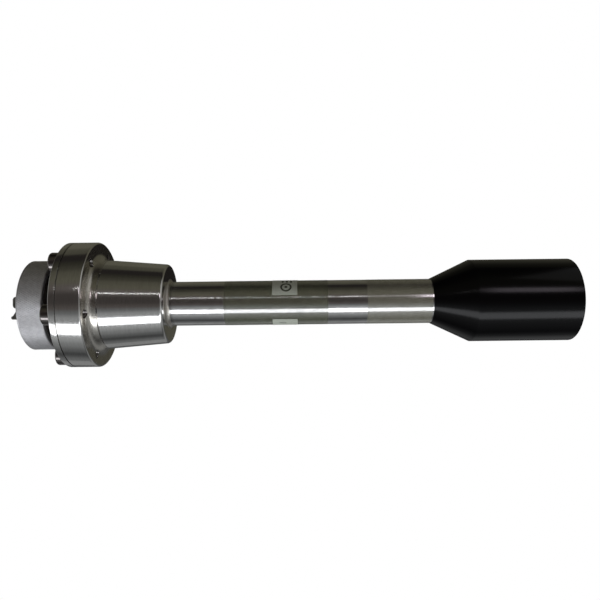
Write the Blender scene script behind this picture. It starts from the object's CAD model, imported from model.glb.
import math

import bmesh
import bpy
import numpy as np
from mathutils import Matrix, Vector


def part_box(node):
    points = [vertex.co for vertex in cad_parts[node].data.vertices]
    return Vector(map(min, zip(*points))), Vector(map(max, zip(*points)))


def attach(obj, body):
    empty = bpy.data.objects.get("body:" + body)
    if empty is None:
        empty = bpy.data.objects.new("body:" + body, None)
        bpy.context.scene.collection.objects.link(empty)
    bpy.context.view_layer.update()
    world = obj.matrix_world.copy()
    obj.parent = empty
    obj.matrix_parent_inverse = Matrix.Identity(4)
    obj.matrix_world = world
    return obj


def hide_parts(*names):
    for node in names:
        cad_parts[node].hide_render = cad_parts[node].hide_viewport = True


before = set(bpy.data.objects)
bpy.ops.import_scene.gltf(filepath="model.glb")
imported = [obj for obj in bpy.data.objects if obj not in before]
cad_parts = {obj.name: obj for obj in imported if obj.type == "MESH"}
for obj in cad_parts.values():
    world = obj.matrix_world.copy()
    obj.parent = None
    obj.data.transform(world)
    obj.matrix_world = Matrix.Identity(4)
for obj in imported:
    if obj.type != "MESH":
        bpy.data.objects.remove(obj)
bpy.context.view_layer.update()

MM = 0.001

# ---------------------------------------------------------------- view
# The camera stands level with the probe's axis, 0.29 m in front of it and opposite its middle,
# so that the flange's front face and the hub's end face both show.


def placed(name, data):
    """A new object, linked to the scene."""
    made = bpy.data.objects.new(name, data)
    bpy.context.scene.collection.objects.link(made)
    return made


camera_data = bpy.data.cameras.new("view")
camera_data.sensor_width = 36.0
camera_data.lens = 35.39
camera_data.clip_start = 0.01
camera = placed("view", camera_data)
bpy.context.scene.camera = camera
CAMERA_PLACE = (98.35 * MM, -290.53 * MM, 0.0)
CAMERA_YAW, CAMERA_PITCH, CAMERA_ROLL = 0.0034, 0.0040, -0.0114
camera.matrix_world = (Matrix.Translation(CAMERA_PLACE)
                       @ Matrix.Rotation(CAMERA_YAW, 4, "Z")
                       @ Matrix.Rotation(math.pi / 2 + CAMERA_PITCH, 4, "X")
                       @ Matrix.Rotation(CAMERA_ROLL, 4, "Z"))
bpy.context.scene.view_settings.view_transform = "Standard"

# ---------------------------------------------------------------- stage
# A plain white sweep: a flat floor that runs up into a round backdrop on every side.  It is
# the ground that the probe is seen on; the room that the steel mirrors is the world's.

STAGE_RADIUS = 2.4
FLOOR_DROP = 0.45


def stage_sweep(rows=48, columns=96):
    """A sphere about the object, flattened at the floor: the point at heading a and height
    angle e is radius x (cos e cos a, cos e sin a, sin e), with its height never under the floor."""
    heading = np.linspace(0, 2 * np.pi, columns, endpoint=False)[None, :]
    height = np.linspace(-np.pi / 2, np.pi / 2, rows)[:, None]
    x = STAGE_RADIUS * np.cos(height) * np.cos(heading)
    y = STAGE_RADIUS * np.cos(height) * np.sin(heading)
    z = STAGE_RADIUS * np.sin(height) + 0 * heading
    points = np.stack([x, y, np.maximum(z, -FLOOR_DROP)], axis=-1)
    index = np.arange(rows * columns).reshape(rows, columns)
    following = np.roll(index, -1, axis=1)
    faces = np.stack([index[:-1], index[1:], following[1:], following[:-1]], axis=-1)
    mesh = bpy.data.meshes.new("sweep")
    mesh.from_pydata(points.reshape(-1, 3).tolist(), [], faces.reshape(-1, 4).tolist())
    return mesh


sweep = placed("sweep", stage_sweep())
white_paper = bpy.data.materials.new("white_paper")
white_paper.use_nodes = True
white_paper.node_tree.nodes.clear()
paper_glow = white_paper.node_tree.nodes.new("ShaderNodeEmission")
paper_glow.inputs["Color"].default_value = (1.0, 1.0, 1.0, 1.0)
paper_out = white_paper.node_tree.nodes.new("ShaderNodeOutputMaterial")
white_paper.node_tree.links.new(paper_glow.outputs["Emission"], paper_out.inputs["Surface"])
sweep.data.materials.append(white_paper)
sweep.visible_diffuse = False
sweep.visible_glossy = False
sweep.visible_transmission = False
sweep.visible_volume_scatter = False
sweep.visible_shadow = False

# ---------------------------------------------------------------- light
# A wide soft box and a slim tube lamp in front, two boxes that give the front tape and the head
# their upper highlights, and weak boxes behind and at both ends.  The world is a dim room, cool
# and brightest low in front, warm or olive at eye level and above.

PROBE_MIDDLE = 95 * MM


def soft_box(name, heading, height, distance, size, power, colour=(1, 1, 1), middle=PROBE_MIDDLE):
    """A rectangular lamp aimed at the axis, at the station called middle.  heading turns it from
    the near side towards +X, height lifts it above the axis, both in degrees; size is its
    width and its height."""
    data = bpy.data.lights.new(name, "AREA")
    data.shape = "RECTANGLE"
    data.size, data.size_y = size
    data.energy = power
    data.color = colour
    turn, lift = math.radians(heading), math.radians(height)
    away = Vector((math.sin(turn) * math.cos(lift), -math.cos(turn) * math.cos(lift),
                   math.sin(lift)))
    lamp = placed(name, data)
    lamp.location = Vector((middle, 0, 0)) + away * distance
    lamp.rotation_mode = "QUATERNION"
    lamp.rotation_quaternion = away.to_track_quat("Z", "Y")
    lamp.visible_camera = False


soft_box("low_front_box", 0, -43, 0.45, (1.00, 0.150), 1.5, (0.94, 0.96, 1.0))
soft_box("high_front_tube", 0, 28, 0.45, (0.33, 0.002), 0.028, middle=35 * MM)
soft_box("high_tape_box", 0, 28, 0.45, (0.12, 0.035), 0.007, middle=240 * MM)
soft_box("high_head_box", 0, 27, 0.45, (0.17, 0.09), 0.15, (1.0, 0.90, 1.0), middle=400 * MM)
soft_box("low_back_box", 180, -48, 0.60, (1.00, 0.240), 0.10)
soft_box("sensing_end_box", 76, 36, 0.55, (0.35, 0.35), 0.12)
soft_box("cable_end_box", -104, 0, 0.55, (0.45, 0.45), 0.16, middle=20 * MM)

# How bright the room is round the probe's axis: (degrees above the near side, brightness, tint).
OLIVE, WARM, COOL = (1.0, 0.96, 0.72), (1.0, 0.88, 0.82), (0.96, 0.99, 1.0)
ROOM = [
    (-180, 0.09, OLIVE), (-160, 0.10, COOL), (-136, 0.17, COOL), (-118, 0.19, COOL),
    (-99, 0.07, COOL), (-90, 0.14, COOL), (-76, 0.26, COOL), (-62, 0.42, COOL),
    (-24, 0.35, COOL), (-14, 0.17, COOL), (-6, 0.10, WARM), (5, 0.06, WARM), (17, 0.06, WARM),
    (30, 0.12, WARM), (44, 0.12, OLIVE), (58, 0.10, OLIVE), (70, 0.055, OLIVE), (80, 0.035, OLIVE),
    (88, 0.022, WARM), (100, 0.022, WARM), (106, 0.08, OLIVE), (118, 0.09, OLIVE),
    (128, 0.13, OLIVE), (160, 0.11, OLIVE), (170, 0.015, WARM), (180, 0.015, WARM),
]
# The walls at both ends add a glow, from where |X| of the direction passes the first number to
# where it reaches the second.
END_WALLS, WALL_START, WALL_FULL = 0.30, 0.62, 0.96
world = bpy.data.worlds.new("room")
bpy.context.scene.world = world
world.use_nodes = True
room_nodes, room_links = world.node_tree.nodes, world.node_tree.links
room_nodes.clear()
direction = room_nodes.new("ShaderNodeTexCoord")
apart = room_nodes.new("ShaderNodeSeparateXYZ")
nearness = room_nodes.new("ShaderNodeMath")
nearness.operation = "MULTIPLY"
nearness.inputs[1].default_value = -1.0
round_axis = room_nodes.new("ShaderNodeMath")
round_axis.operation = "ARCTAN2"
share = room_nodes.new("ShaderNodeMapRange")
share.inputs["From Min"].default_value = -math.pi
share.inputs["From Max"].default_value = math.pi
ramp = room_nodes.new("ShaderNodeValToRGB")
ramp.color_ramp.interpolation = "EASE"
while len(ramp.color_ramp.elements) < len(ROOM):
    ramp.color_ramp.elements.new(0.5)
for element, (degrees, _, _) in zip(ramp.color_ramp.elements, ROOM):
    element.position = (degrees + 180) / 360
for element, (_, brightness, tint) in zip(ramp.color_ramp.elements, ROOM):
    element.color = [brightness * part for part in tint] + [1.0]
room_glow = room_nodes.new("ShaderNodeBackground")
sideways = room_nodes.new("ShaderNodeMath")
sideways.operation = "ABSOLUTE"
end_share = room_nodes.new("ShaderNodeMapRange")
end_share.interpolation_type = "SMOOTHSTEP"
end_share.inputs["From Min"].default_value = WALL_START
end_share.inputs["From Max"].default_value = WALL_FULL
end_share.inputs["To Max"].default_value = END_WALLS
end_glow = room_nodes.new("ShaderNodeBackground")
both_glows = room_nodes.new("ShaderNodeAddShader")
room_out = room_nodes.new("ShaderNodeOutputWorld")
room_links.new(direction.outputs["Generated"], apart.inputs[0])
room_links.new(apart.outputs["Y"], nearness.inputs[0])
room_links.new(apart.outputs["Z"], round_axis.inputs[0])
room_links.new(nearness.outputs[0], round_axis.inputs[1])
room_links.new(round_axis.outputs[0], share.inputs["Value"])
room_links.new(share.outputs["Result"], ramp.inputs["Fac"])
room_links.new(ramp.outputs["Color"], room_glow.inputs["Color"])
room_links.new(apart.outputs["X"], sideways.inputs[0])
room_links.new(sideways.outputs[0], end_share.inputs["Value"])
room_links.new(end_share.outputs["Result"], end_glow.inputs["Strength"])
room_links.new(room_glow.outputs["Background"], both_glows.inputs[0])
room_links.new(end_glow.outputs["Background"], both_glows.inputs[1])
room_links.new(both_glows.outputs["Shader"], room_out.inputs["Surface"])

# ---------------------------------------------------------------- knurled clamp ring
# The hand-turned ring at the cable end: aluminium bar, turned, diamond-knurled between two
# narrow rims, chamfered, and bored with a lip that pulls the terminal insert onto the neck.

AROUND = 288        # columns round a turned body: a whole number of them to each of six holes


def span(node):
    """Where a turned CAD node starts and ends along the axis, and its radius."""
    low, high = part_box(node)
    return low.x, high.x, (high.z - low.z) / 2


def eased(corners, steps=5):
    """An outline with its corners rounded.  A corner is (station, radius, ease): ease is the
    radius of the arc, tangent to both neighbouring sides, that takes the corner's place.  The
    first corner and the last count as neighbours, also in an outline that isn't closed."""
    spots = np.array([corner[:2] for corner in corners], float)
    made = []
    for spot, before, after, corner in zip(spots, np.roll(spots, 1, 0), np.roll(spots, -1, 0),
                                           corners):
        ease = corner[2] if len(corner) > 2 else 0.0
        back, on = before - spot, after - spot
        back, on = back / np.linalg.norm(back), on / np.linalg.norm(on)
        half = math.acos(max(-1.0, min(1.0, float(back @ on)))) / 2
        if ease == 0.0 or abs(half - math.pi / 2) < 1e-4:
            made.append(spot[None])
            continue
        middle = spot + (back + on) / np.linalg.norm(back + on) * ease / math.sin(half)
        first, last = spot + back * ease / math.tan(half), spot + on * ease / math.tan(half)
        opening = math.pi - 2 * half
        part = np.linspace(0, 1, steps + 1)[:, None]
        arc = (np.sin((1 - part) * opening) * (first - middle)
               + np.sin(part * opening) * (last - middle)) / math.sin(opening)
        made.append(middle + arc)
    return np.concatenate(made)


def about_axis(stations, radii, angles):
    """Points (station, -radius cos angle, radius sin angle): the angle starts at the near
    side and rises over the top."""
    stations, radii, angles = np.broadcast_arrays(stations, radii, angles)
    return np.stack([stations, -radii * np.cos(angles), radii * np.sin(angles)], axis=-1)


def full_turn(columns):
    """A row of angles, evenly spaced round the axis."""
    return np.linspace(0, 2 * np.pi, columns, endpoint=False)[None, :]


def sheet_faces(rows, columns, close_rows=False, close_columns=False):
    """The four-sided faces of a grid of points, joined up with itself where it is closed."""
    index = np.arange(rows * columns).reshape(rows, columns)
    if close_rows:
        index = np.concatenate([index, index[:1]])
    if close_columns:
        index = np.concatenate([index, index[:, :1]], axis=1)
    return np.stack([index[:-1, :-1], index[1:, :-1], index[1:, 1:], index[:-1, 1:]],
                    axis=-1).reshape(-1, 4)


def piece(name, sheets, body, sharp=35.0, stands_for=()):
    """One object from sheets of (points, faces): neighbouring points are merged, the shell
    is turned outwards, and edges sharper than the angle stay crisp."""
    points = np.concatenate([sheet[0].reshape(-1, 3) for sheet in sheets])
    starts = np.cumsum([0] + [sheet[0].reshape(-1, 3).shape[0] for sheet in sheets])
    faces = [face for sheet, start in zip(sheets, starts) for face in (sheet[1] + start).tolist()]
    mesh = bpy.data.meshes.new(name)
    mesh.from_pydata(points.tolist(), [], faces)
    work = bmesh.new()
    work.from_mesh(mesh)
    bmesh.ops.remove_doubles(work, verts=work.verts, dist=1e-7)
    bmesh.ops.dissolve_degenerate(work, edges=work.edges, dist=1e-8)
    bmesh.ops.recalc_face_normals(work, faces=work.faces)
    work.to_mesh(mesh)
    work.free()
    mesh.shade_smooth()
    mesh.set_sharp_from_angle(angle=math.radians(sharp))
    made = placed(name, mesh)
    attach(made, body)
    if stands_for:
        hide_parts(*stands_for)
    return made


def turned(outline, around=AROUND, closed=True):
    """The sheet that an outline of (station, radius) sweeps round the axis; a closed outline is
    joined up with itself."""
    points = about_axis(outline[:, :1], outline[:, 1:], full_turn(around))
    return points, sheet_faces(len(outline), around, close_rows=closed, close_columns=True)


def finish_of(name, colour, metallic=0.0, roughness=0.5, **sockets):
    """A material of one Principled shader.  Further sockets are given by name, with their
    spaces as underscores."""
    material = bpy.data.materials.new(name)
    material.use_nodes = True
    shader = material.node_tree.nodes["Principled BSDF"]
    shader.inputs["Base Color"].default_value = (*colour, 1.0)
    shader.inputs["Metallic"].default_value = metallic
    shader.inputs["Roughness"].default_value = roughness
    for socket, number in sockets.items():
        shader.inputs[socket.replace("_", " ")].default_value = number
    return material


NOISE_LOW, NOISE_HIGH = 0.3, 0.7        # nearly all of a cloud lies between these


def cloud(material, grain, stretch=(1, 1, 1), detail=3.0):
    """Noise in Object coordinates; grain is the size of a blotch in metres, and stretch
    makes it longer or shorter along each axis."""
    nodes, links = material.node_tree.nodes, material.node_tree.links
    place = nodes.new("ShaderNodeTexCoord")
    mapping = nodes.new("ShaderNodeMapping")
    mapping.inputs["Scale"].default_value = [1 / (grain * part) for part in stretch]
    noise = nodes.new("ShaderNodeTexNoise")
    noise.inputs["Scale"].default_value = 1.0
    noise.inputs["Detail"].default_value = detail
    links.new(place.outputs["Object"], mapping.inputs["Vector"])
    links.new(mapping.outputs["Vector"], noise.inputs["Vector"])
    return noise.outputs["Fac"]


def vary(material, socket, low, high, grain, stretch=(1, 1, 1), detail=3.0):
    """Lets a socket wander between two numbers or two colours with a cloud of noise."""
    nodes, links = material.node_tree.nodes, material.node_tree.links
    shader = nodes["Principled BSDF"]
    source = cloud(material, grain, stretch, detail)
    if isinstance(low, tuple):
        spread = nodes.new("ShaderNodeValToRGB")
        spread.color_ramp.elements[0].position = NOISE_LOW
        spread.color_ramp.elements[0].color = (*low, 1.0)
        spread.color_ramp.elements[1].position = NOISE_HIGH
        spread.color_ramp.elements[1].color = (*high, 1.0)
        links.new(source, spread.inputs["Fac"])
        links.new(spread.outputs["Color"], shader.inputs[socket])
    else:
        spread = nodes.new("ShaderNodeMapRange")
        spread.inputs["From Min"].default_value = NOISE_LOW
        spread.inputs["From Max"].default_value = NOISE_HIGH
        spread.inputs["To Min"].default_value = low
        spread.inputs["To Max"].default_value = high
        links.new(source, spread.inputs["Value"])
        links.new(spread.outputs["Result"], shader.inputs[socket])


def emboss(material, depth, grain, stretch=(1, 1, 1), detail=3.0):
    """A shallow relief, depth metres high, from a cloud of noise."""
    nodes, links = material.node_tree.nodes, material.node_tree.links
    bump = nodes.new("ShaderNodeBump")
    bump.inputs["Strength"].default_value = 1.0
    bump.inputs["Distance"].default_value = depth
    links.new(cloud(material, grain, stretch, detail), bump.inputs["Height"])
    before = nodes["Principled BSDF"].inputs["Normal"]
    if before.is_linked:
        links.new(before.links[0].from_socket, bump.inputs["Normal"])
    links.new(bump.outputs["Normal"], before)


ring_rear, ring_front, ring_radius = span("knurled_ring")
RING_CHAMFER, RING_RIM = 0.3 * MM, 0.25 * MM
RING_BORE, RING_MOUTH, RING_LIP = 19.05 * MM, 14.5 * MM, 1.05 * MM
CHAMFER_MIDDLE = (0.15, 0.8)        # its place along and down the chamfer, as shares
KNURL_COUNT, KNURL_DEPTH, KNURL_ROW = 128, 0.15 * MM, 1.85 * MM
TIP_DROP, RIM_RISE = 0.02 * MM, 0.1 * MM
knurl_start = ring_rear + RING_CHAMFER + RING_RIM
knurl_end = ring_front - RING_CHAMFER - RING_RIM


def knurl():
    """Two crossing families of grooves, each at 30 degrees or so to the axis.  On the grid
    (i, j) of half steps, points whose i + j is odd are the tips of the diamonds and the
    others lie in the grooves; every face is split along its groove."""
    rows = 2 * round((knurl_end - knurl_start) / KNURL_ROW) + 1
    columns = 2 * KNURL_COUNT
    i, j = np.meshgrid(np.arange(rows), np.arange(columns), indexing="ij")
    tip = (i + j) % 2 == 1
    radii = ring_radius - np.where(tip, TIP_DROP, KNURL_DEPTH)
    stations = knurl_start + (knurl_end - knurl_start) * i / (rows - 1)
    points = about_axis(stations, radii, j * 2 * np.pi / columns)
    quads = sheet_faces(rows, columns, close_columns=True)
    along_groove = ((i + j) % 2 == 0)[:-1].reshape(-1)
    straight = quads[along_groove]
    crossed = quads[~along_groove]
    split = [straight[:, [0, 1, 2]], straight[:, [0, 2, 3]],
             crossed[:, [0, 1, 3]], crossed[:, [1, 2, 3]]]
    return points, np.concatenate(split)


knurl_edge = ring_radius - TIP_DROP
chamfer_along, chamfer_down = [share_of * RING_CHAMFER for share_of in CHAMFER_MIDDLE]
ring_outline = np.array([
    (knurl_end, knurl_edge),
    (knurl_end + RIM_RISE, ring_radius),
    (ring_front - RING_CHAMFER, ring_radius),
    (ring_front - chamfer_along, ring_radius - chamfer_down),
    (ring_front, ring_radius - RING_CHAMFER),
    (ring_front, RING_BORE + RING_CHAMFER),
    (ring_front - RING_CHAMFER, RING_BORE),
    (ring_rear + RING_LIP, RING_BORE),
    (ring_rear + RING_LIP, RING_MOUTH),
    (ring_rear + RING_CHAMFER, RING_MOUTH),
    (ring_rear, RING_MOUTH + RING_CHAMFER),
    (ring_rear, ring_radius - RING_CHAMFER),
    (ring_rear + chamfer_along, ring_radius - chamfer_down),
    (ring_rear + RING_CHAMFER, ring_radius),
    (knurl_start - RIM_RISE, ring_radius),
    (knurl_start, knurl_edge),
])
clamp_ring = piece("clamp_ring_knurled",
                   [knurl(), turned(ring_outline, 2 * KNURL_COUNT, closed=False)],
                   "clamp_ring", sharp=14.0, stands_for=("knurled_ring",))
knurled_aluminium = finish_of("knurled_aluminium", (0.60, 0.595, 0.61), 1.0, 0.50)
vary(knurled_aluminium, "Base Color", (0.54, 0.535, 0.55), (0.66, 0.655, 0.67), 1.5 * MM)
vary(knurled_aluminium, "Roughness", 0.46, 0.56, 2.5 * MM)
emboss(knurled_aluminium, 0.010 * MM, 0.15 * MM)
clamp_ring.data.materials.append(knurled_aluminium)

# ---------------------------------------------------------------- slip washer
# A thin brass washer between the ring's lip and the insert, so that turning the ring doesn't
# turn the terminals.  Stamped from sheet; it travels with the ring but doesn't turn.


def coat(node, material):
    """Gives a CAD node's object its material."""
    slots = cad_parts[node].data.materials
    slots.clear()
    slots.append(material)


washer_brass = finish_of("washer_brass", (0.72, 0.53, 0.24), 1.0, 0.32)
vary(washer_brass, "Roughness", 0.24, 0.42, 1.2 * MM, (3, 1, 1))
emboss(washer_brass, 0.003 * MM, 0.3 * MM)
coat("slip_washer", washer_brass)
coat("board_pillars", washer_brass)

# ---------------------------------------------------------------- threaded neck and its gasket
# The neck is pressed into the cover plate: dark anodised aluminium, with a 1.5 mm thread cut
# on it for the ring.  A flat rubber gasket lies under its shoulder.

neck_rear, neck_front, neck_radius = span("threaded_neck")
gasket_rear, gasket_front, gasket_radius = span("neck_gasket")
THREAD_PITCH, THREAD_DEPTH = 1.5 * MM, 0.45 * MM
CREST_SHARE, FLANK_SHARE = 0.15, 0.7
NECK_BORE, NECK_EDGE, NECK_AROUND = 15.5 * MM, 0.4 * MM, 144
SPIGOT_RADIUS, SPIGOT_GAP = 17.0 * MM, 0.02 * MM


def thread(start, end, radius, pitch, depth, around=NECK_AROUND, rows_a_turn=10):
    """A single-start thread: the radius falls below the crest by the depth times how far
    station / pitch - angle / turn is from its nearest whole number, doubled, with flat crests;
    it fades out over half a pitch at both ends."""
    rows = int(round((end - start) / pitch * rows_a_turn)) + 1
    stations = np.linspace(start, end, rows)[:, None]
    angles = full_turn(around)
    phase = stations / pitch - angles / (2 * np.pi)
    away = 2 * np.abs(phase - np.round(phase))
    groove = np.clip((away - CREST_SHARE) / FLANK_SHARE, 0, 1)
    fade = np.clip(np.minimum(stations - start, end - stations) / (0.5 * pitch), 0, 1)
    points = about_axis(stations, radius - depth * groove * fade, angles)
    return points, sheet_faces(rows, around, close_columns=True)


neck_outline = np.array([
    (gasket_rear, neck_radius),
    (gasket_rear, SPIGOT_RADIUS),
    (neck_front, SPIGOT_RADIUS),
    (neck_front, NECK_BORE),
    (neck_rear, NECK_BORE),
    (neck_rear, neck_radius - NECK_EDGE),
    (neck_rear + NECK_EDGE, neck_radius),
])
neck = piece("neck_threaded",
             [thread(neck_rear + NECK_EDGE, gasket_rear, neck_radius, THREAD_PITCH, THREAD_DEPTH),
              turned(neck_outline, NECK_AROUND, closed=False)], "probe", sharp=25.0,
             stands_for=("threaded_neck",))
dark_aluminium = finish_of("dark_aluminium", (0.035, 0.028, 0.027), 0.85, 0.42)
vary(dark_aluminium, "Roughness", 0.34, 0.52, 1.0 * MM)
vary(dark_aluminium, "Base Color", (0.025, 0.020, 0.019), (0.055, 0.045, 0.042), 2.0 * MM)
neck.data.materials.append(dark_aluminium)

seal_rubber = finish_of("seal_rubber", (0.018, 0.017, 0.017), 0.0, 0.62)
vary(seal_rubber, "Roughness", 0.52, 0.74, 0.8 * MM)
emboss(seal_rubber, 0.01 * MM, 0.25 * MM)
gasket_bore = SPIGOT_RADIUS + SPIGOT_GAP
gasket = piece("gasket_flat", [turned(eased([
    (gasket_rear, gasket_bore, 0.1 * MM), (gasket_rear, gasket_radius, 0.25 * MM),
    (gasket_front, gasket_radius, 0.25 * MM), (gasket_front, gasket_bore, 0.1 * MM),
]))], "probe", stands_for=("neck_gasket",))
gasket.data.materials.append(seal_rubber)
for node in ("cover_seal", "insert_seal", "adaptor_seal"):
    coat(node, seal_rubber)

# ---------------------------------------------------------------- hub
# Flange and tapered barrel turned from one bar of stainless steel, hollow for the electronics
# and drilled through the flange for six screws.  The lathe's tool left fine rings on it.

hub_rear, hub_front, flange_radius = span("hub_body")
HOLE_COUNT, HOLE_CIRCLE, HOLE_RADIUS = 6, 25.25 * MM, 2.1 * MM
HOLE_FIRST = math.radians(-9.5)
BARREL_ROOT, BARREL_NOSE, ROOT_FILLET = 21.7 * MM, 19.4 * MM, 3.8 * MM
FLANGE_EDGE, NOSE_EDGE = 1.0 * MM, 1.5 * MM
TAPER_ABOVE, TAPER_BELOW = 0.06 * MM, 0.04 * MM        # the taper's line at the nose's rounding
TOOL_LINE, LINE_START, LINE_FLOOR, LINE_END = 0.17 * MM, 0.05 * MM, 0.12 * MM, 0.80 * MM
CHAMBER_RADIUS, CHAMBER_END = 15.5 * MM, 16.0 * MM
SOCKET_RADIUS, SOCKET_START, LEAD_HOLE = 10.82 * MM, 20.5 * MM, 9.5 * MM
GROOVE_INNER, GROOVE_OUTER, GROOVE_FLOOR = 18.33 * MM, 19.67 * MM, -9.6 * MM
WINDOW_INNER, WINDOW_OUTER, WINDOW_ROWS, WINDOW_COLUMNS = 22.6 * MM, 28.2 * MM, 9, 6
RIM_BAND, FRONT_BAND, FILLET_ROWS = 0.6 * MM, 0.4 * MM, 6


def root_station(radius):
    """The flange's front face, with the root fillet's quarter circle rising from it."""
    inward = np.clip(BARREL_ROOT + ROOT_FILLET - radius, 0, ROOT_FILLET)
    return ROOT_FILLET - np.sqrt(ROOT_FILLET ** 2 - inward ** 2)


def drilled(outline, stations_of, hole_radius, circle=HOLE_CIRCLE, rings=4):
    """A turned body with round holes along the axis.  Round each hole, on both faces, a window
    of the grid is left out; there the points run straight from the window's border to the
    hole's edge, at the station that the face has at their radius, and a wall joins the edges."""
    columns = AROUND
    points = about_axis(outline[:, :1], outline[:, 1:], HOLE_FIRST + full_turn(columns))
    faces = sheet_faces(len(outline), columns, close_rows=True, close_columns=True)
    row, column = np.divmod(faces[:, 0], columns)
    low, high = outline[row, 1], outline[(row + 1) % len(outline), 1]
    slack = 0.01 * MM
    in_rows = ((np.minimum(low, high) > WINDOW_INNER - slack)
               & (np.maximum(low, high) < WINDOW_OUTER + slack))
    step = columns // HOLE_COUNT
    in_columns = (column + WINDOW_COLUMNS) % step < 2 * WINDOW_COLUMNS
    sheets = [(points, faces[~(in_rows & in_columns)])]
    radii = np.linspace(WINDOW_INNER, WINDOW_OUTER, WINDOW_ROWS)
    turn = np.arange(-WINDOW_COLUMNS, WINDOW_COLUMNS + 1) * 2 * np.pi / columns
    border_radius = np.concatenate([np.full(len(turn) - 1, radii[0]), radii[:-1],
                                    np.full(len(turn) - 1, radii[-1]), radii[:0:-1]])
    border_turn = np.concatenate([turn[:-1], np.full(len(radii) - 1, turn[-1]),
                                  turn[:0:-1], np.full(len(radii) - 1, turn[0])])
    across, up = border_radius * np.cos(border_turn), border_radius * np.sin(border_turn)
    reach = np.hypot(across - circle, up)
    edge_across = circle + (across - circle) / reach * hole_radius
    edge_up = up / reach * hole_radius
    part = np.linspace(0, 1, rings + 1)[:, None]
    ring_across = edge_across * (1 - part) + across * part
    ring_up = edge_up * (1 - part) + up * part
    radius, turned_by = np.hypot(ring_across, ring_up), np.arctan2(ring_up, ring_across)
    for hole in range(HOLE_COUNT):
        heading = HOLE_FIRST + hole * 2 * np.pi / HOLE_COUNT + turned_by
        patches = [about_axis(stations(radius), radius, heading) for stations in stations_of]
        for patch in patches:
            sheets.append((patch, sheet_faces(*radius.shape, close_columns=True)))
        wall = np.stack([patches[0][0], patches[1][0]])
        sheets.append((wall, sheet_faces(2, radius.shape[1], close_columns=True)))
    return sheets


window_radii = np.linspace(WINDOW_INNER, WINDOW_OUTER, WINDOW_ROWS)
fillet_angles = np.linspace(math.asin((BARREL_ROOT + ROOT_FILLET - WINDOW_INNER) / ROOT_FILLET),
                            math.pi / 2, FILLET_ROWS + 1)[1:]
# Known fault: the first corner's two neighbours lie the same way from it, so its ease has no
# arc, and its points end on the origin, hidden inside the hub.  With no ease they would not.
rear_face = eased([
    (hub_rear, CHAMBER_RADIUS, 0.3 * MM), (hub_rear, GROOVE_INNER, 0.1 * MM),
    (GROOVE_FLOOR, GROOVE_INNER, 0.1 * MM), (GROOVE_FLOOR, GROOVE_OUTER, 0.1 * MM),
    (hub_rear, GROOVE_OUTER, 0.1 * MM), (hub_rear, WINDOW_INNER),
], 2)
rear_window = np.stack([np.full(WINDOW_ROWS, hub_rear), window_radii], axis=-1)[1:]
flange_rim = eased([
    (hub_rear, WINDOW_OUTER + RIM_BAND), (hub_rear, flange_radius, 0.08 * MM),
    (0.0, flange_radius, FLANGE_EDGE), (0.0, WINDOW_OUTER + FRONT_BAND),
], 8)
front_window_rows = np.stack([root_station(window_radii), window_radii], axis=-1)[::-1]
fillet = np.stack([ROOT_FILLET - ROOT_FILLET * np.cos(fillet_angles),
                   BARREL_ROOT + ROOT_FILLET - ROOT_FILLET * np.sin(fillet_angles)], axis=-1)
barrel = eased([
    (ROOT_FILLET + LINE_START, BARREL_ROOT, 0.02 * MM),
    (ROOT_FILLET + LINE_FLOOR, BARREL_ROOT - TOOL_LINE, 0.02 * MM),
    (ROOT_FILLET + LINE_END, BARREL_ROOT - 0.01 * MM, 0.02 * MM),
    (hub_front - NOSE_EDGE, BARREL_NOSE + TAPER_ABOVE),
    (hub_front, BARREL_NOSE - TAPER_BELOW, NOSE_EDGE),
    (hub_front, SOCKET_RADIUS, 0.1 * MM),
    (SOCKET_START, SOCKET_RADIUS), (SOCKET_START, LEAD_HOLE), (CHAMBER_END, LEAD_HOLE),
    (CHAMBER_END, CHAMBER_RADIUS, 0.5 * MM),
], 8)
hub = piece("hub_turned", drilled(
    np.concatenate([rear_face, rear_window, flange_rim, front_window_rows, fillet, barrel]),
    (lambda radius: np.full_like(radius, hub_rear), root_station), HOLE_RADIUS),
    "probe", sharp=28.0, stands_for=("hub_body",))
turned_steel = finish_of("turned_steel", (0.59, 0.583, 0.572), 1.0, 0.12)
vary(turned_steel, "Base Color", (0.55, 0.543, 0.53), (0.63, 0.624, 0.614), 5 * MM, (0.05, 1, 1))
vary(turned_steel, "Roughness", 0.09, 0.17, 3 * MM, (0.08, 1, 1))
emboss(turned_steel, 0.0016 * MM, 4 * MM, (0.05, 1, 1))
emboss(turned_steel, 0.004 * MM, 9 * MM, (0.6, 1, 1), 1.0)
hub.data.materials.append(turned_steel)

# The front face and the fillet were faced with a coarser cut, and look duller than the rim.
# The faced part stops part-way down the rounding of the flange's edge.
FACE_SLACK, EDGE_SHARE = 0.02 * MM, 0.6
faced_steel = finish_of("faced_steel", (0.52, 0.50, 0.46), 1.0, 0.22)
vary(faced_steel, "Roughness", 0.16, 0.28, 1.5 * MM)
vary(faced_steel, "Base Color", (0.46, 0.44, 0.40), (0.56, 0.54, 0.50), 4 * MM)
hub.data.materials.append(faced_steel)
centres = np.zeros(len(hub.data.polygons) * 3)
hub.data.polygons.foreach_get("center", centres)
centres = centres.reshape(-1, 3)
from_axis = np.hypot(centres[:, 1], centres[:, 2])
on_face = ((centres[:, 0] > -FACE_SLACK) & (centres[:, 0] < ROOT_FILLET)
           & (from_axis > BARREL_ROOT) & (from_axis < flange_radius - EDGE_SHARE * FLANGE_EDGE))
hub.data.polygons.foreach_set("material_index", on_face.astype(np.int32))

# ---------------------------------------------------------------- cover plate
# The round plate over the electronics, turned from the same steel and of the same width as
# the flange.  A narrow step in its front rim shows as a fine dark joint between the two, and
# the neck is pressed into it.

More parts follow.
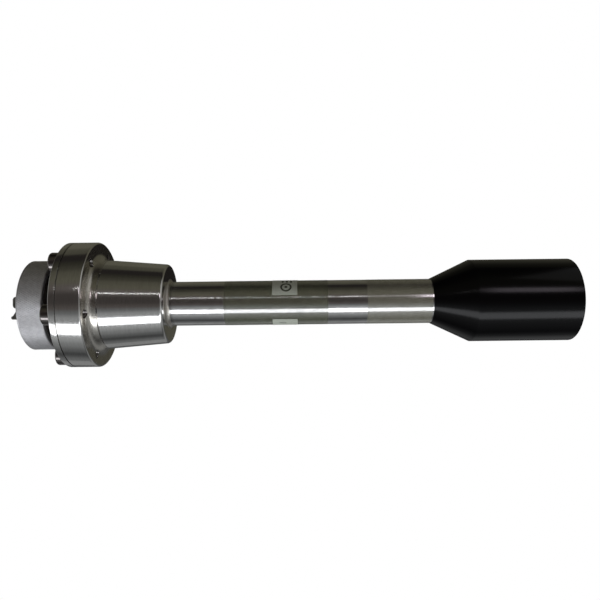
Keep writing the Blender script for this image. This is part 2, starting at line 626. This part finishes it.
plate_rear, plate_front, plate_radius = span("cover_plate")
PLATE_EDGE, CLEARANCE_HOLE = 0.4 * MM, 2.75 * MM
JOINT_WIDTH, JOINT_DEPTH = 0.50 * MM, 1.2 * MM
plate_bore = SPIGOT_RADIUS + SPIGOT_GAP
plate_rows = np.concatenate([
    np.array([(plate_rear, plate_bore), (plate_rear, WINDOW_INNER)]),
    np.stack([np.full(WINDOW_ROWS, plate_rear), window_radii], axis=-1)[1:],
    eased([(plate_rear, WINDOW_OUTER + RIM_BAND), (plate_rear, plate_radius, PLATE_EDGE),
           (plate_front - JOINT_WIDTH, plate_radius, 0.08 * MM),
           (plate_front - JOINT_WIDTH, plate_radius - JOINT_DEPTH),
           (plate_front, plate_radius - JOINT_DEPTH), (plate_front, WINDOW_OUTER + RIM_BAND)], 6),
    np.stack([np.full(WINDOW_ROWS, plate_front), window_radii], axis=-1)[::-1],
    np.array([(plate_front, plate_bore)]),
])
plate = piece("cover_plate_turned", drilled(
    plate_rows, (lambda radius: np.full_like(radius, plate_rear),
                 lambda radius: np.full_like(radius, plate_front)), CLEARANCE_HOLE),
    "probe", sharp=28.0, stands_for=("cover_plate",))
plate.data.materials.append(turned_steel)

# ---------------------------------------------------------------- cover screws
# Six pan-head screws with a plain cross recess hold the plate to the flange.  Their heads are
# pressed and polished, and their ends just show in the holes of the flange's front face.

screws_rear, screws_front, _ = span("cover_screws")
SCREW_HEAD, SCREW_CROWN, SHANK_RADIUS = 5.0 * MM, 0.9 * MM, 2.08 * MM
CROSS_WIDTH, CROSS_SPAN, CROSS_DEPTH, CROSS_SLOPE = 1.1 * MM, 4.8 * MM, 1.9 * MM, 0.25 * MM
SCREW_ROWS, SCREW_AROUND = 24, 72


def screw_sheets(angle):
    """One screw: its outline turned about its own axis, where the head's top sinks inside
    two crossed bars with sloping walls."""
    rim = eased([(screws_rear, 0.0), (screws_rear, SCREW_HEAD, SCREW_CROWN),
                 (plate_rear, SCREW_HEAD, 0.12 * MM), (plate_rear, SHANK_RADIUS),
                 (screws_front, SHANK_RADIUS, 0.45 * MM), (screws_front, 0.0)], 8)
    flat_part = np.linspace(0, SCREW_HEAD - SCREW_CROWN, SCREW_ROWS)[:-1]
    outline = np.concatenate([
        np.stack([np.full_like(flat_part, screws_rear), flat_part], axis=-1), rim[1:]])
    turn = full_turn(SCREW_AROUND)
    across, up = outline[:, 1:] * np.cos(turn), outline[:, 1:] * np.sin(turn)
    stations = outline[:, :1] + 0 * turn
    bars = []
    for long_way, short_way in ((across, up), (up, across)):
        inside = np.minimum(CROSS_SPAN / 2 - np.abs(long_way), CROSS_WIDTH / 2 - np.abs(short_way))
        bars.append(np.clip(inside / CROSS_SLOPE + 0.5, 0, 1))
    on_head = (np.arange(len(outline)) < len(flat_part))[:, None]
    stations = stations + np.where(on_head, np.maximum(*bars) * CROSS_DEPTH, 0)
    middle = about_axis(0.0, HOLE_CIRCLE, angle)
    outward, around = middle / HOLE_CIRCLE, np.array([0.0, -middle[2], middle[1]]) / HOLE_CIRCLE
    points = (stations[..., None] * np.array([1.0, 0, 0]) + middle
              + across[..., None] * outward + up[..., None] * around)
    return points, sheet_faces(*stations.shape, close_columns=True)


hole_angles = HOLE_FIRST + np.arange(HOLE_COUNT) * 2 * math.pi / HOLE_COUNT
screws = piece("cover_screws_panhead", [screw_sheets(angle) for angle in hole_angles], "probe",
               sharp=32.0, stands_for=("cover_screws",))
screw_steel = finish_of("screw_steel", (0.20, 0.185, 0.18), 1.0, 0.14)
vary(screw_steel, "Roughness", 0.10, 0.20, 1.0 * MM)
emboss(screw_steel, 0.004 * MM, 0.6 * MM)
screws.data.materials.append(screw_steel)
coat("board_screws", screw_steel)

# ---------------------------------------------------------------- tube and its weld
# A drawn and polished stainless tube, let into the barrel and welded round its foot.  The
# weld was run without filler, so it is a smooth hollow bead with faint ripples.

tube_rear, tube_front, tube_radius = span("probe_tube")
weld_rear, weld_front, _ = span("tube_weld")
TUBE_BORE, TUBE_AROUND = 8.8 * MM, 192
tube = piece("tube_polished", [turned(eased([
    (tube_rear, TUBE_BORE, 0.3 * MM), (tube_rear, tube_radius, 0.3 * MM),
    (tube_front, tube_radius, 0.1 * MM), (tube_front, TUBE_BORE, 0.3 * MM)]), TUBE_AROUND)],
    "probe", stands_for=("probe_tube",))
tube_steel = finish_of("tube_steel", (0.60, 0.59, 0.57), 1.0, 0.14)
vary(tube_steel, "Base Color", (0.55, 0.545, 0.54), (0.63, 0.625, 0.62), 2.5 * MM, (2, 1, 1))
vary(tube_steel, "Roughness", 0.10, 0.20, 0.9 * MM, (5, 1, 1))
emboss(tube_steel, 0.0012 * MM, 0.5 * MM, (10, 1, 1))
tube.data.materials.append(tube_steel)

RIPPLE_COUNT, RIPPLE_DEPTH = 84, 0.035 * MM


def weld_bead(rows=12, around=504):
    """A hollow fillet: in section, a quarter circle that meets the barrel's face and the tube
    square on; ripples of the given depth run round it, strongest in its middle."""
    sweep_angle = np.linspace(0, np.pi / 2, rows)[:, None]
    angles = full_turn(around)
    leg = weld_front - weld_rear
    ripple = RIPPLE_DEPTH * np.sin(2 * sweep_angle) * np.sin(
        RIPPLE_COUNT * angles + 0.9 * np.cos(2 * sweep_angle))
    hollow = leg - ripple
    stations = weld_rear + leg - hollow * np.cos(sweep_angle)
    radii = tube_radius + leg - hollow * np.sin(sweep_angle)
    skin = about_axis(stations, radii, angles)
    corner = about_axis(np.full((1, 1), weld_rear), tube_radius, angles)
    points = np.concatenate([skin, corner])
    return points, sheet_faces(rows + 1, around, close_rows=True, close_columns=True)


weld = piece("weld_bead", [weld_bead()], "probe", sharp=50.0, stands_for=("tube_weld",))
weld_steel = finish_of("weld_steel", (0.48, 0.46, 0.42), 1.0, 0.36)
vary(weld_steel, "Base Color", (0.42, 0.39, 0.34), (0.54, 0.53, 0.50), 2.0 * MM)
vary(weld_steel, "Roughness", 0.30, 0.46, 0.8 * MM)
weld.data.materials.append(weld_steel)

# ---------------------------------------------------------------- paper label
# A strip of white paper wrapped most of the way round the tube, with its ends apart on the
# near side.  It carries a plain printed ring and a few bars, which say nothing.

label_rear, label_front, label_radius = span("paper_label")
LABEL_FROM, LABEL_TO = math.radians(20), math.radians(312)
LABEL_GAP = 0.005 * MM
PAPER_WHITE, INK = (0.86, 0.90, 0.82), (0.05, 0.05, 0.05)
# The printed marks, in millimetres along the label and round it: the ring's middle, radius and
# stroke, and each bar's middle, width and height.
RING_MARK = (6.6, 4.4, 2.3, 0.9)
BAR_MARKS = [(6.6, 4.4, 1.3, 1.3), (5.0, 9.2, 0.9, 2.6), (7.0, 9.2, 0.9, 2.6),
             (9.0, 9.2, 0.9, 2.6), (5.0, 52.6, 3.0, 0.5)]


def wrapped(start, end, inner, outer, first, last, columns=150):
    """A strip bent round the axis between two angles: its section's four corners sweep from
    the first angle to the last, and a face closes each end."""
    corners = np.array([(start, inner), (start, outer), (end, outer), (end, inner)])
    angles = np.linspace(first, last, columns)[None, :]
    points = about_axis(corners[:, :1], corners[:, 1:], angles)
    faces = sheet_faces(4, columns, close_rows=True)
    ends = np.array([[0, 1, 2, 3], [3, 2, 1, 0]]) * columns + np.array([[0], [columns - 1]])
    return points, np.concatenate([faces, ends])


label = piece("label_strip", [wrapped(label_rear, label_front, tube_radius + LABEL_GAP,
                                      label_radius, LABEL_FROM, LABEL_TO)],
              "probe", stands_for=("paper_label",))
corner_points = np.zeros(len(label.data.loops), int)
label.data.loops.foreach_get("vertex_index", corner_points)
places = np.zeros(len(label.data.vertices) * 3)
label.data.vertices.foreach_get("co", places)
places = places.reshape(-1, 3)[corner_points]
wound = np.mod(np.arctan2(places[:, 2], -places[:, 1]), 2 * np.pi)
label_map = label.data.uv_layers.new(name="millimetres")
label_map.data.foreach_set("uv", np.stack([
    (places[:, 0] - label_rear) / MM, (wound - LABEL_FROM) * label_radius / MM],
    axis=-1).ravel())

label_paper = finish_of("label_paper", PAPER_WHITE, 0.0, 0.6)
emboss(label_paper, 0.01 * MM, 0.3 * MM)
print_nodes, print_links = label_paper.node_tree.nodes, label_paper.node_tree.links
flat_place = print_nodes.new("ShaderNodeUVMap")
flat_place.uv_map = "millimetres"
flat_apart = print_nodes.new("ShaderNodeSeparateXYZ")
print_links.new(flat_place.outputs["UV"], flat_apart.inputs[0])


def math_node(operation, first, second=None, third=None):
    """One Math node; its inputs are numbers or other nodes' outputs."""
    node = print_nodes.new("ShaderNodeMath")
    node.operation = operation
    for socket, source in zip(node.inputs, (first, second, third)):
        if source is None:
            continue
        if isinstance(source, (int, float)):
            socket.default_value = source
        else:
            print_links.new(source, socket)
    return node.outputs[0]


def printed_bar(x, y, width, height):
    """1 inside the rectangle with that middle and size, in millimetres, and 0 outside."""
    wide = math_node("COMPARE", flat_apart.outputs["X"], x, width / 2)
    high = math_node("COMPARE", flat_apart.outputs["Y"], y, height / 2)
    return math_node("MULTIPLY", wide, high)


def printed_ring(x, y, radius, stroke):
    """1 where the distance from the middle is within half a stroke of the radius."""
    along = math_node("SUBTRACT", flat_apart.outputs["X"], x)
    high = math_node("SUBTRACT", flat_apart.outputs["Y"], y)
    square = math_node("ADD", math_node("MULTIPLY", along, along), math_node("MULTIPLY", high, high))
    return math_node("COMPARE", math_node("SQRT", square), radius, stroke / 2)


marks = printed_ring(*RING_MARK)
for bar in BAR_MARKS:
    marks = math_node("MAXIMUM", marks, printed_bar(*bar))
ink = print_nodes.new("ShaderNodeMix")
ink.data_type = "RGBA"
ink.inputs["A"].default_value = (*PAPER_WHITE, 1.0)
ink.inputs["B"].default_value = (*INK, 1.0)
print_links.new(marks, ink.inputs["Factor"])
print_links.new(ink.outputs["Result"], print_nodes["Principled BSDF"].inputs["Base Color"])
label.data.materials.append(label_paper)

# ---------------------------------------------------------------- clear tapes
# Two lengths of clear packing tape: one holds the label down and climbs over its edges, the
# other is wound on next to the head.  Both lie close on the tube and have gone yellow.

rear_tape_start, rear_tape_end, tape_radius = span("rear_tape")
front_tape_start, front_tape_end, _ = span("front_tape")
TAPE_THICKNESS, TAPE_GAP, LABEL_RAMP = 0.1 * MM, 0.015 * MM, 0.7 * MM
WAVE_COUNT, WAVE_LENGTH = 7, 20 * MM


def tape(start, end, over_label, wrinkle, seed, rows=72, around=192):
    """A skin of even thickness: its radius is the tube's, raised by the label where the label
    lies under it, plus wrinkles that are a sum of long waves round and along the tube."""
    stations = np.linspace(start, end, rows)[:, None]
    angles = full_turn(around)
    rise = np.zeros((rows, around))
    if over_label:
        along = np.clip(np.minimum(stations - label_rear, label_front - stations)
                        / LABEL_RAMP + 1, 0, 1)
        past_end = np.minimum(np.mod(angles - LABEL_FROM, 2 * np.pi),
                              np.mod(LABEL_TO - angles, 2 * np.pi))
        on_label = np.mod(angles - LABEL_FROM, 2 * np.pi) <= LABEL_TO - LABEL_FROM
        beside = np.where(on_label, 1.0,
                          np.clip(1 - past_end * label_radius / LABEL_RAMP, 0, 1))
        rise = (label_radius - tube_radius) * along * beside
    random = np.random.default_rng(seed)
    waves = np.zeros((rows, around))
    for _ in range(WAVE_COUNT):
        lengthwise = random.uniform(0.5, 2.5) * 2 * np.pi / WAVE_LENGTH
        turns = random.integers(1, 6)
        phase = random.uniform(0, 6.28)
        waves += np.cos(lengthwise * stations + turns * angles + phase) / WAVE_COUNT
    middle = tube_radius + TAPE_GAP + rise + wrinkle * (waves + 1) / 2
    inner = np.minimum(middle, tape_radius - TAPE_THICKNESS)
    outer = inner + TAPE_THICKNESS
    skin = [about_axis(stations, outer, angles), about_axis(stations, inner, angles)[::-1]]
    points = np.concatenate(skin)
    return points, sheet_faces(2 * rows, around, close_rows=True, close_columns=True)


def tape_finish(name, colour, low, high, alpha, roughness):
    """A thin clear plastic whose colour wanders between low and high."""
    made = finish_of(name, colour, 0.0, roughness, Alpha=alpha, IOR=1.47)
    vary(made, "Base Color", low, high, 3.0 * MM)
    emboss(made, 0.004 * MM, 1.2 * MM)
    return made


clear_tape = tape_finish("clear_tape", (0.185, 0.20, 0.125), (0.155, 0.17, 0.10),
                         (0.215, 0.23, 0.15), 0.17, 0.12)
hazy_tape = tape_finish("hazy_tape", (0.42, 0.41, 0.31), (0.37, 0.36, 0.26),
                        (0.47, 0.46, 0.36), 0.15, 0.20)
rear_tape = piece("tape_over_label", [tape(rear_tape_start, rear_tape_end, True, 0.0, 1)],
                  "probe", stands_for=("rear_tape",))
front_tape = piece("tape_by_head", [tape(front_tape_start, front_tape_end, False, 0.05 * MM, 2)],
                   "probe", stands_for=("front_tape",))
for strip, material in ((rear_tape, clear_tape), (front_tape, hazy_tape)):
    strip.data.materials.append(material)

# ---------------------------------------------------------------- sensing head
# The head's shell is turned from black engineering plastic: a cone from the tube up to a
# straight barrel, with crisp edges and a satin turned skin.  The window closes its front.

head_rear, head_front, head_radius = span("sensing_head_shell")
window_rear, window_front, window_radius = span("front_window")
CONE_END, CONE_START_RADIUS, HEAD_EDGE = 180.0 * MM, 11.1 * MM, 0.6 * MM
HEAD_BORE, CAVITY_RADIUS, CAVITY_START = 8.45 * MM, 17.0 * MM, 185.0 * MM
head = piece("head_shell_turned", [turned(eased([
    (head_rear, HEAD_BORE, 0.1 * MM), (head_rear, CONE_START_RADIUS, 0.08 * MM),
    (CONE_END, head_radius, 0.5 * MM), (head_front, head_radius, HEAD_EDGE),
    (head_front, CAVITY_RADIUS, 0.15 * MM), (CAVITY_START, CAVITY_RADIUS),
    (CAVITY_START, HEAD_BORE)], 8))], "probe", sharp=40.0, stands_for=("sensing_head_shell",))
head_polymer = finish_of("head_polymer", (0.0010, 0.0009, 0.0012), 0.0, 0.17,
                         Specular_IOR_Level=0.18)
vary(head_polymer, "Roughness", 0.14, 0.20, 2 * MM, (0.15, 1, 1))
emboss(head_polymer, 0.002 * MM, 3 * MM, (0.08, 1, 1))
head.data.materials.append(head_polymer)

window = piece("window_disc", [turned(eased([
    (window_rear, 0.0), (window_rear, window_radius, 0.2 * MM),
    (window_front, window_radius, 0.25 * MM), (window_front, 0.0)], 4), closed=False)],
    "probe", stands_for=("front_window",))
window_polymer = finish_of("window_polymer", (0.018, 0.018, 0.020), 0.0, 0.42)
vary(window_polymer, "Roughness", 0.36, 0.50, 2.0 * MM)
emboss(window_polymer, 0.006 * MM, 0.5 * MM)
window.data.materials.append(window_polymer)

# ---------------------------------------------------------------- terminal insert and tags
# A black moulding in the neck's mouth holds two flat solder tags, stamped from tinned brass
# strip, whose ends stand out behind the ring.

black_moulding = finish_of("black_moulding", (0.012, 0.012, 0.012), 0.0, 0.45)
vary(black_moulding, "Roughness", 0.38, 0.55, 1.5 * MM)
emboss(black_moulding, 0.008 * MM, 0.4 * MM)
coat("terminal_insert", black_moulding)


def softened(node, name, width, segments=3):
    """A copy of a flat CAD piece with its doubled points merged and its edges bevelled."""
    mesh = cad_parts[node].data.copy()
    mesh.materials.clear()
    work = bmesh.new()
    work.from_mesh(mesh)
    bmesh.ops.remove_doubles(work, verts=work.verts, dist=1e-6)
    bmesh.ops.dissolve_limit(work, angle_limit=math.radians(1.0), verts=work.verts,
                             edges=work.edges)
    work.to_mesh(mesh)
    work.free()
    made = placed(name, mesh)
    bevel = made.modifiers.new("eased_edges", "BEVEL")
    bevel.width = width
    bevel.segments = segments
    bevel.limit_method = "ANGLE"
    bevel.angle_limit = math.radians(40)
    mesh.shade_smooth()
    mesh.set_sharp_from_angle(angle=math.radians(50))
    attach(made, "probe")
    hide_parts(node)
    return made


tag_brass = finish_of("tag_metal", (0.16, 0.155, 0.15), 1.0, 0.38)
vary(tag_brass, "Base Color", (0.11, 0.105, 0.10), (0.24, 0.23, 0.21), 1.2 * MM)
vary(tag_brass, "Roughness", 0.30, 0.50, 0.6 * MM)
emboss(tag_brass, 0.006 * MM, 0.5 * MM)
for node, name in (("upper_terminal_tag", "tag_upper"), ("lower_terminal_tag", "tag_lower")):
    tag = softened(node, name, 0.15 * MM)
    tag.data.materials.append(tag_brass)

# ---------------------------------------------------------------- inside the head
# The transducer stack behind the window: matching layer, ceramic disc, backing and foam
# sleeve, potted in, with the steel adaptor that the shell is screwed onto.

coat("head_adaptor", turned_steel)
matching_compound = finish_of("matching_compound", (0.55, 0.52, 0.45), 0.0, 0.55)
vary(matching_compound, "Base Color", (0.48, 0.45, 0.38), (0.62, 0.59, 0.52), 0.3 * MM)
coat("matching_layer", matching_compound)
piezo_ceramic = finish_of("piezo_ceramic", (0.70, 0.66, 0.55), 0.0, 0.35)
vary(piezo_ceramic, "Base Color", (0.64, 0.60, 0.49), (0.76, 0.72, 0.62), 0.5 * MM)
coat("piezo_disc", piezo_ceramic)
backing_rubber = finish_of("backing_rubber", (0.10, 0.05, 0.04), 0.0, 0.7)
vary(backing_rubber, "Base Color", (0.08, 0.04, 0.03), (0.14, 0.07, 0.05), 0.6 * MM)
coat("backing_block", backing_rubber)
sleeve_foam = finish_of("sleeve_foam", (0.20, 0.20, 0.21), 0.0, 0.9)
emboss(sleeve_foam, 0.15 * MM, 0.4 * MM)
vary(sleeve_foam, "Base Color", (0.12, 0.12, 0.13), (0.28, 0.28, 0.29), 0.4 * MM)
coat("isolation_sleeve", sleeve_foam)
potting_resin = finish_of("potting_resin", (0.03, 0.03, 0.035), 0.0, 0.18)
vary(potting_resin, "Roughness", 0.12, 0.28, 5 * MM)
coat("head_potting", potting_resin)

# ---------------------------------------------------------------- electronics in the hub
# A round board on three pillars carries the transformer: two ferrite cups round a wound coil.
# Two leads run from it down the tube, and two short ones back to the tags.

board_laminate = finish_of("board_laminate", (0.02, 0.14, 0.06), 0.0, 0.4)
vary(board_laminate, "Base Color", (0.015, 0.11, 0.045), (0.03, 0.18, 0.08), 0.5 * MM)
coat("circuit_board", board_laminate)
ferrite = finish_of("ferrite", (0.045, 0.045, 0.05), 0.0, 0.5)
vary(ferrite, "Base Color", (0.03, 0.03, 0.034), (0.07, 0.07, 0.075), 0.15 * MM)
for node in ("core_cup_rear", "core_cup_front"):
    coat(node, ferrite)
copper_winding = finish_of("copper_winding", (0.62, 0.26, 0.12), 1.0, 0.3)
emboss(copper_winding, 0.08 * MM, 0.5 * MM, (0.5, 8, 8))
vary(copper_winding, "Base Color", (0.50, 0.19, 0.08), (0.72, 0.33, 0.17), 0.6 * MM, (0.5, 8, 8))
coat("wound_coil", copper_winding)
red_insulation = finish_of("red_insulation", (0.42, 0.02, 0.015), 0.0, 0.4)
vary(red_insulation, "Base Color", (0.34, 0.015, 0.01), (0.50, 0.03, 0.02), 3 * MM)
black_insulation = finish_of("black_insulation", (0.012, 0.012, 0.012), 0.0, 0.4)
vary(black_insulation, "Roughness", 0.32, 0.5, 2 * MM)
for node, material in (("signal_lead", red_insulation), ("rear_signal_lead", red_insulation),
                       ("ground_lead", black_insulation), ("rear_ground_lead", black_insulation)):
    coat(node, material)
